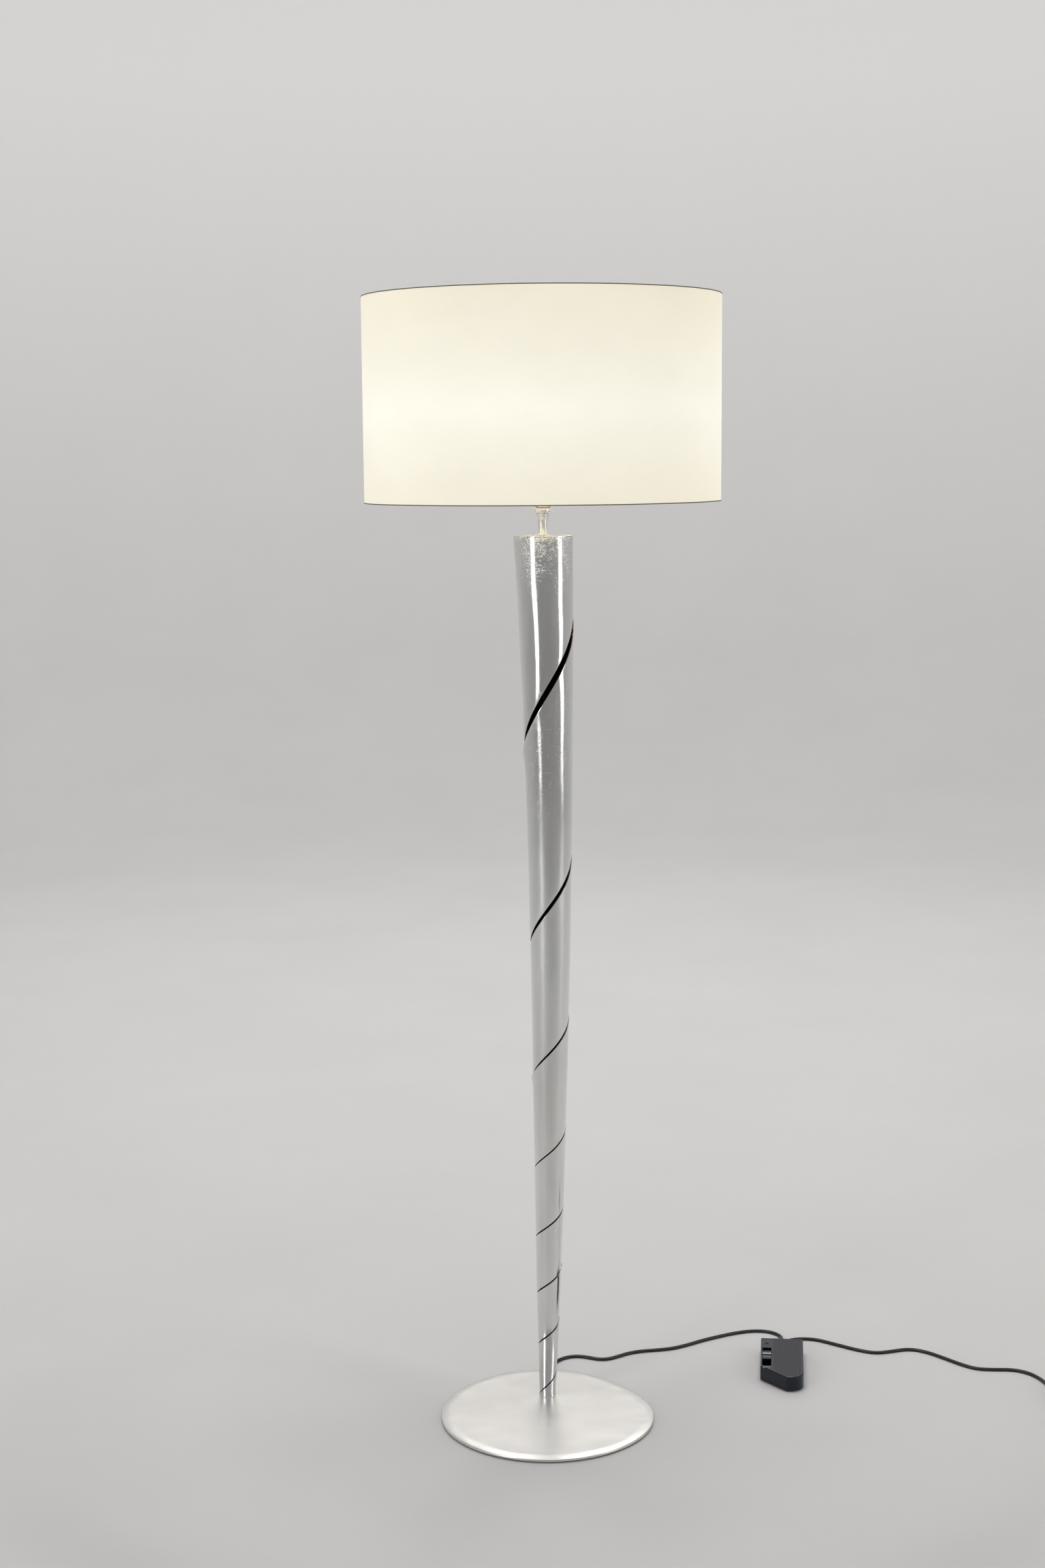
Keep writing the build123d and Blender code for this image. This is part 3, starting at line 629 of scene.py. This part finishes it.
def make_neck():
    """The waisted turning on the cap, and the round-edged collar under the shade."""
    low, high = NECK_BOTTOM, NECK_TOP
    side = smooth_line([(9.8, low + 0.1), (8.8, low + 1.6), (7.7, low + 4.5), (7.2, low + 10),
                        (7.2, low + 16), (7.6, low + 21), (8.4, low + 25.5), (9.7, low + 29.5),
                        (10.1, high - 2.6), (9.8, high - 1.5), (8.6, high - 1.0), (8.4, high)])

    def uneven(angle, z):
        return 0.3 * noise.noise(Vector((math.cos(angle) * 3, math.sin(angle) * 3, z / 6)))

    stem = lathe("neck_turning", [(NECK_BORE, high), (NECK_BORE, low)] + side, 72, wobble=uneven)
    collar_r = 13.7
    outline = rounded([(NECK_BORE, NECK_TOP), (collar_r, NECK_TOP), (collar_r, COLLAR_TOP),
                       (NECK_BORE, COLLAR_TOP)], 3.0, 7)
    collar = lathe("neck_collar", outline, 72, wobble=uneven)
    for obj, node in ((stem, "neck_stem"), (collar, "neck_flange")):
        sharpen(obj, 60)
        paint(obj, NECK_LEAF)
        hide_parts(node)


# ---------------------------------------------------------------- the plate
def plate_radius(angle):
    """The rim at an angle in degrees: drawn in at the rear right, with a small nick beside it."""
    away = (angle - PLATE_FLAT_AT) / PLATE_FLAT_SPREAD
    nick = 1.6 * math.exp(-((angle - 17.5) / 1.1) ** 2)
    around = math.radians(angle)
    uneven = 0.45 * noise.noise(Vector((math.cos(around) * 3, math.sin(around) * 3, 1)))
    return PLATE_R - PLATE_FLAT_DEPTH * math.exp(-away * away) - nick + uneven - 0.3


def make_plate():
    """Heavy plate with a softly rolled upper rim, cut out below for the tube, its washer and its nut."""
    turns = 288
    roll, drop = 17.0, 1.6       # the rolled rim's width, and how far it falls
    shares = (0.12, 0.25, 0.38, 0.5, 0.6, 0.7, 0.78, 0.85)
    points, faces, profile = [], [], []
    brim = PLATE_TOP - 1.15
    for step in range(15):
        d = roll * (1 - step / 14) ** 1.25 + 0.9
        profile.append((d, brim - drop * (1 - (d - 0.9) / roll) ** 2.2))
    profile += [(0.35, brim - drop - 0.4), (0.0, brim - drop - 1.1), (0.0, PLATE_BOTTOM + 1.0),
                (0.35, PLATE_BOTTOM + 0.3), (1.2, PLATE_BOTTOM)]
    for step in range(turns):
        angle = 360 * step / turns
        c, s = math.cos(math.radians(angle)), math.sin(math.radians(angle))
        rim = plate_radius((angle + 180) % 360 - 180)

        def put(r, z):
            x, y = PLATE_CENTRE[0] + r * c, PLATE_CENTRE[1] + r * s
            points.append((x, y, z))

        for share in shares:
            r = share * (rim - roll - 1)
            x, y = PLATE_CENTRE[0] + r * c, PLATE_CENTRE[1] + r * s
            wave = 0.10 * noise.noise(Vector((x / 90, y / 90, 4)))
            calm = min(1.0, max(0.0, (math.hypot(x, y) - 16) / 30))
            crown = 1.5 * share * share
            put(r, PLATE_TOP - crown * calm + (wave - 0.05) * calm * 0.8 - 0.02)
        for d, z in profile:
            uneven = 0.18 * noise.noise(Vector((c * 8, s * 8, d / 9)))
            put(rim - d, z + (uneven if z > PLATE_BOTTOM + 2 else 0))
        put(0.5 * rim, PLATE_BOTTOM)
    count = len(shares) + len(profile) + 1
    top = len(points)
    points.append((*PLATE_CENTRE, PLATE_TOP))
    bottom = len(points)
    points.append((*PLATE_CENTRE, PLATE_BOTTOM))
    for step in range(turns):
        ahead = (step + 1) % turns
        for k in range(count - 1):
            faces.append((step * count + k, step * count + k + 1, ahead * count + k + 1, ahead * count + k))
        faces.append((top, step * count, ahead * count))
        faces.append((bottom, ahead * count + count - 1, step * count + count - 1))
    plate = mesh_object("foot_plate", points, faces)
    clean(plate, 0.001)
    middle, below, above, recess_top = 0.001, -2, 14, 5.5
    cutter = lathe("cutter", [(middle, below), (NUT_RECESS_R, below), (NUT_RECESS_R, recess_top),
                              (TUBE_HOLE_R, recess_top), (TUBE_HOLE_R, above), (middle, above)], 64, None)
    cut = plate.modifiers.new("recess", "BOOLEAN")
    cut.operation = "DIFFERENCE"
    cut.solver = "EXACT"
    cut.object = cutter
    apply_modifiers(plate)
    bpy.data.objects.remove(cutter)
    sharpen(plate, 50)
    paint(plate, PLATE)
    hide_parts("base_plate")


# ---------------------------------------------------------------- the shade
def make_shade():
    """The cloth drum, painted apart inside and out, and the tape folded round both its rims."""
    turns, rows = 240, 30

    def out_of_round(angle, z):
        return 0.5 * noise.noise(Vector((math.cos(angle) * 1.3, math.sin(angle) * 1.3, z / 400)))

    low, high = SHADE_BOTTOM + 0.6, SHADE_TOP - 0.6
    up = [low + (high - low) * step / rows for step in range(rows + 1)]
    outline = [(SHADE_R, z) for z in up] + [(SHADE_R - 1, z) for z in reversed(up)]
    cloth = lathe("drum_cloth", outline, turns, wobble=out_of_round)
    sharpen(cloth, 50)
    paint(cloth, CLOTH, LINING)
    for face in cloth.data.polygons:
        middle = face.center
        inward = face.normal.x * middle.x + face.normal.y * middle.y < 0
        face.material_index = 1 if inward else 0
    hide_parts("shade_cover")

    outer, skin, back, inner = SHADE_R + 0.3, SHADE_R + 0.02, SHADE_R - 1.1, SHADE_R - 4.2
    for name, edge, way in (("bottom", SHADE_BOTTOM, 1), ("top", SHADE_TOP, -1)):
        band, cloth_edge, hem = edge + way * 1.6, edge + way * 0.6, edge + way * 0.85
        corners = [(inner, edge), (outer, edge), (outer, band), (skin, band),
                   (skin, cloth_edge), (back, cloth_edge), (back, hem), (inner, hem)]

        def soft(angle, z, edge=edge):
            fold = 0.12 * noise.noise(Vector((math.cos(angle) * 40, math.sin(angle) * 40, edge)))
            return out_of_round(angle, z) + fold

        tape = lathe(f"rim_tape_{name}", rounded(corners, 0.3, 3), turns, wobble=soft)
        sharpen(tape, 50)
        paint(tape, TAPE)
        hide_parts(f"shade_edge_{name}")


# ---------------------------------------------------------------- cords
def dimmer_point(across, behind, z):
    """A place measured from the dimmer's rear left corner, in its own turned frame."""
    turn = math.radians(DIMMER_TURN)
    x = DIMMER_CORNER[0] + across * math.cos(turn) - behind * math.sin(turn)
    y = DIMMER_CORNER[1] + across * math.sin(turn) + behind * math.cos(turn)
    return (x, y, z)


TO_DIMMER = [
    CORD_EXIT, (0, 57, 29), (0.8, 80, 23), (2.4, 103, 15.5), (5.5, 125, 8), (13, 145, 3.2), (29, 163, LAY),
    (49.5, 169.5, LAY), (69, 164, LAY), (86, 154.5, LAY), (104, 155, LAY), (122, 167, LAY), (139, 179.5, LAY),
    (162, 188.5, LAY), (190, 192.5, LAY), (218, 199, LAY), (244, 214, LAY), (270, 232.5, LAY), (299, 249, LAY),
    (329, 264, LAY), (358, 273.5, LAY), (384, 273, LAY), (402.5, 261, LAY), (410.5, 243, 3.2), (408, 223, 6.8),
    dimmer_point(DIMMER_ENTRIES[0], RELIEF_LENGTH, DIMMER_SPLIT),
]
TO_COIL = [
    dimmer_point(DIMMER_ENTRIES[1], RELIEF_LENGTH, DIMMER_SPLIT), (418.3, 213, 8.2), (423.5, 223.3, 6.2),
    (431.9, 231.1, 4.2), (442.5, 235.5, 3), (455, 236, LAY), (471, 231.5, LAY), (488, 219.5, LAY),
    (512, 201.5, LAY), (538, 182.5, LAY), (565, 170.5, LAY), (594, 178.5, LAY), (624, 188, LAY),
    (650, 175.5, LAY), (674, 150.5, LAY), (698, 122, LAY), (722, 100.5, LAY), (752, 97, LAY),
    (782, 96.5, LAY), (805, 84, LAY), (820, 60, LAY), (827, 32, LAY), (828.6, 4, LAY),
]
TO_PLUG = [(828.6, -32, 13.8), (828.3, -43, 12.6), (828, -55, 9.3), (828, -67, 7.3), (828, -79, 6.9)]


def coil_turns():
    """Seven turns in three layers of three, three and one; the cord enters and leaves at the coil's left."""
    pitch = CORD_D + 0.05
    lanes = []
    for layer, columns in enumerate(((1, 0, -1), (-1, 0, 1), (1,))):
        for column in columns:
            lanes.append((COIL_MID_R + column * pitch, LAY + layer * (CORD_D + 0.02)))
    points = []
    per_turn = 16
    total = per_turn * len(lanes)
    for step in range(1, total):
        along = step / per_turn
        lane = min(int(along), len(lanes) - 1)
        share = along - lane
        r, z = lanes[lane]
        if lane + 1 < len(lanes) and share > 0.75:      # the change of lane takes the turn's last quarter
            ease = (share - 0.75) / 0.25
            ease = ease * ease * (3 - 2 * ease)
            r += (lanes[lane + 1][0] - r) * ease
            z += (lanes[lane + 1][1] - z) * ease
        angle = math.pi + 2 * math.pi * along
        points.append((COIL_CENTRE[0] + r * math.cos(angle), COIL_CENTRE[1] + r * math.sin(angle), z))
    return points


def cord_curve(name, route):
    """A round cord on one smooth NURBS spline."""
    curve = bpy.data.curves.new(name, "CURVE")
    curve.dimensions = "3D"
    curve.resolution_u = 10
    curve.bevel_depth = 1.0      # the points' radius sets the thickness, so that the curve's own box is tight
    curve.bevel_resolution = 5
    curve.use_fill_caps = True
    spline = curve.splines.new("NURBS")
    spline.points.add(len(route) - 1)
    for point, place in zip(spline.points, route):
        point.co = (*metres(place), 1)
        point.radius = CORD_R * MM
    spline.order_u = 3
    spline.use_endpoint_u = True
    cord = add_object(name, curve)
    paint(cord, SOFT)
    return cord


def spline_length(cord):
    """The cord's length along its spline, in metres."""
    depth = cord.data.bevel_depth
    cord.data.bevel_depth = 0
    line = bpy.data.meshes.new_from_object(cord)
    cord.data.bevel_depth = depth
    places = [v.co for v in line.vertices]
    bpy.data.meshes.remove(line)
    return sum((b - a).length for a, b in zip(places, places[1:]))


def make_cords():
    first = cord_curve("cord_lamp_to_dimmer", TO_DIMMER)
    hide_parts("cord_to_dimmer")
    spline_length(first)
    second = cord_curve("cord_dimmer_to_plug", TO_COIL + coil_turns() + TO_PLUG)
    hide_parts("cord_to_coil", "cord_coil", "cord_to_plug")
    spline_length(second)


# ---------------------------------------------------------------- CAD nodes that keep their shape
def paint_dimmer_cover():
    """Gloss black, and on the groove floors between the ribs a duller material: painted shade, and dust."""
    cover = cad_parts["dimmer_cover"]
    paint(cover, GLOSS, GROOVE)
    close = 0.05 * MM
    for face in cover.data.polygons:
        on_floor = abs(face.center.z - GROOVE_FLOOR * MM) < close and face.normal.z > 0.9
        face.material_index = int(on_floor)


def paint_cad():
    paint_dimmer_cover()
    paint_nodes(GLOSS, "dimmer_base", "dimmer_slider", "plug_body")
    paint_nodes(SOFT, "cord_gland", "cord_tie", "plug_relief",
                "dimmer_feet", "dimmer_relief_in", "dimmer_relief_out")
    paint_nodes(SATIN_BLACK, "holder_body", "shade_nut_lower", "shade_nut_upper",
                "dimmer_clamps", "bulb_insulator")
    paint_nodes(ZINC, "base_washer", "base_nut", "foot_ring", "top_ring", "dimmer_screws")
    # painted shade: the tube is near black so that the cone's hollow reads dark through the slit
    paint_nodes(TUBE_SHADE_BLACK, "centre_tube")
    paint_nodes(NICKEL, "holder_dome", "socket_shell", "bulb_screw_cap", "plug_pins")
    paint_nodes(BRASS, "centre_contact", "terminal_screws", "bulb_contact")
    paint_nodes(BARE, "bulb_led_board", "dimmer_heatsink")
    paint_nodes(FELT, "base_felt")
    paint_nodes(CERAMIC, "holder_insert")
    paint_nodes(WHITE_PAINT, "shade_spider", "shade_wire_bottom", "shade_wire_top")
    paint_nodes(WHITE_PLASTIC, "bulb_housing")
    paint_nodes(LINING, "shade_seam")
    paint_nodes(BOARD, "dimmer_pcb")
    paint_nodes(GREY_PART, "dimmer_fader", "dimmer_triac", "dimmer_terminals")
    paint_nodes(BLUE_PART, "dimmer_capacitor")
    paint_nodes(COPPER, "dimmer_choke")
    paint_nodes(LEAD, "inner_leads")
    paint_nodes(FUSE, "dimmer_fuse")
    paint_nodes(SMOKE, "dimmer_indicator")
    paint_nodes(PHOSPHOR, "bulb_led_chips")
    paint_nodes(OPAL, "bulb_diffuser")


# ---------------------------------------------------------------- studio
def bowl_mesh(name, flat_r, corner_r, top):
    """A round floor that sweeps up into a wall, in metres."""
    turns, corner_steps, middle = 96, 12, 0.001
    outline = [(middle, 0.0), (flat_r * 0.5, 0.0), (flat_r, 0.0)]
    for step in range(1, corner_steps + 1):
        angle = math.pi / 2 * step / corner_steps
        outline.append((flat_r + corner_r * math.sin(angle), corner_r * (1 - math.cos(angle))))
    outline.append((flat_r + corner_r, top))
    points, faces = [], []
    for step in range(turns):
        angle = 2 * math.pi * step / turns
        points += [(r * math.cos(angle), r * math.sin(angle), z) for r, z in outline]
    count = len(outline)
    for step in range(turns):
        ahead = (step + 1) % turns
        for k in range(count - 1):
            faces.append((step * count + k, ahead * count + k, ahead * count + k + 1, step * count + k + 1))
    mesh = bpy.data.meshes.new(name)
    mesh.from_pydata(points, [], faces)
    mesh.polygons.foreach_set("use_smooth", [True] * len(mesh.polygons))
    return mesh


def make_studio():
    """A pale floor that sweeps up into a wall, an even sky, soft area lights and the bulb's own light."""
    bpy.context.scene.view_settings.view_transform = "Standard"
    floor = add_object("floor", bowl_mesh("floor", 5.0, 4.0, 7.0), None)
    look = Look("floor", Roughness=0.7, Specular_IOR_Level=0.3)
    tone = look.ramp(look.noise(look.place(), 2, 3), (0.3, (0.53, 0.525, 0.52)), (0.7, (0.55, 0.545, 0.54)))
    up_the_wall = look.fit(look.axis(look.place(), "Z"), 0.0, 3.5)
    look.put("Base Color", look.mix(up_the_wall, tone, (0.78, 0.775, 0.77)))
    paint(floor, look)

    world = bpy.data.worlds.new("studio")
    bpy.context.scene.world = world
    world.use_nodes = True
    sky = world.node_tree.nodes["Background"]
    sky.inputs["Color"].default_value = (0.97, 0.98, 1.0, 1)
    sky.inputs["Strength"].default_value = 0.36

    def area(name, place, target, size, power, colour):
        """A soft rectangular light that the camera doesn't see."""
        light = bpy.data.lights.new(name, "AREA")
        light.shape = "RECTANGLE"
        light.size, light.size_y = size
        light.energy = power
        light.color = colour
        obj = add_object(name, light, None)
        obj.location = place
        obj.rotation_euler = (Vector(target) - Vector(place)).to_track_quat("-Z", "Y").to_euler()
        obj.visible_camera = False

    area("key", (-3.0, -3.0, 1.9), (0, 0, 0.9), (1.0, 3.2), 45, (0.97, 0.985, 1.0))
    area("fill", (3.9, -1.7, 1.9), (0, 0, 0.9), (1.2, 3.2), 32, (1.0, 0.99, 0.975))
    area("top", (0, 0, 6.8), (0, 0.01, 0), (5.0, 5.0), 45, (1.0, 1.0, 1.0))
    area("back", (0.5, 4.2, 4.2), (0, 0, 0.9), (3.0, 2.4), 40, (1.0, 0.985, 0.96))
    for side in range(4):                                # washes for the wall
        angle = math.pi * (0.25 + 0.5 * side)
        x, y = math.cos(angle), math.sin(angle)
        power = 200 if y > 0 else 12                     # the wall behind the camera stays dimmer
        area(f"wash_{side}", (1.5 * x, 1.5 * y, 6.5), (8 * x, 8 * y, 2.0), (2.0, 1.0), power,
             (1.0, 0.99, 0.98))

    bulb = bpy.data.lights.new("bulb_light", "POINT")
    bulb.energy = 5.5
    bulb.color = (1.0, 0.90, 0.74)
    bulb.shadow_soft_size = 0.03
    lamp = add_object("bulb_light", bulb, None)
    lamp.location = (0, 0, BULB_LIGHT_Z)


def make_camera():
    """Where the picture was taken from: level with the shade, looking down a little."""
    camera = bpy.data.cameras.new("camera")
    camera.sensor_width = 36.0
    camera.lens = CAMERA_LENS
    camera.clip_end = 200
    obj = bpy.data.objects.new("camera", camera)
    bpy.context.scene.collection.objects.link(obj)
    tilt = Matrix.Rotation(math.radians(CAMERA_TILT), 4, "X")
    roll = Matrix.Rotation(math.radians(CAMERA_ROLL), 4, "Z")
    obj.matrix_world = Matrix.Translation(CAMERA_PLACE) @ tilt @ roll
    bpy.context.scene.camera = obj


make_camera()
make_cords()
make_post()
make_cap()
make_neck()
make_plate()
make_shade()
paint_cad()
make_studio()
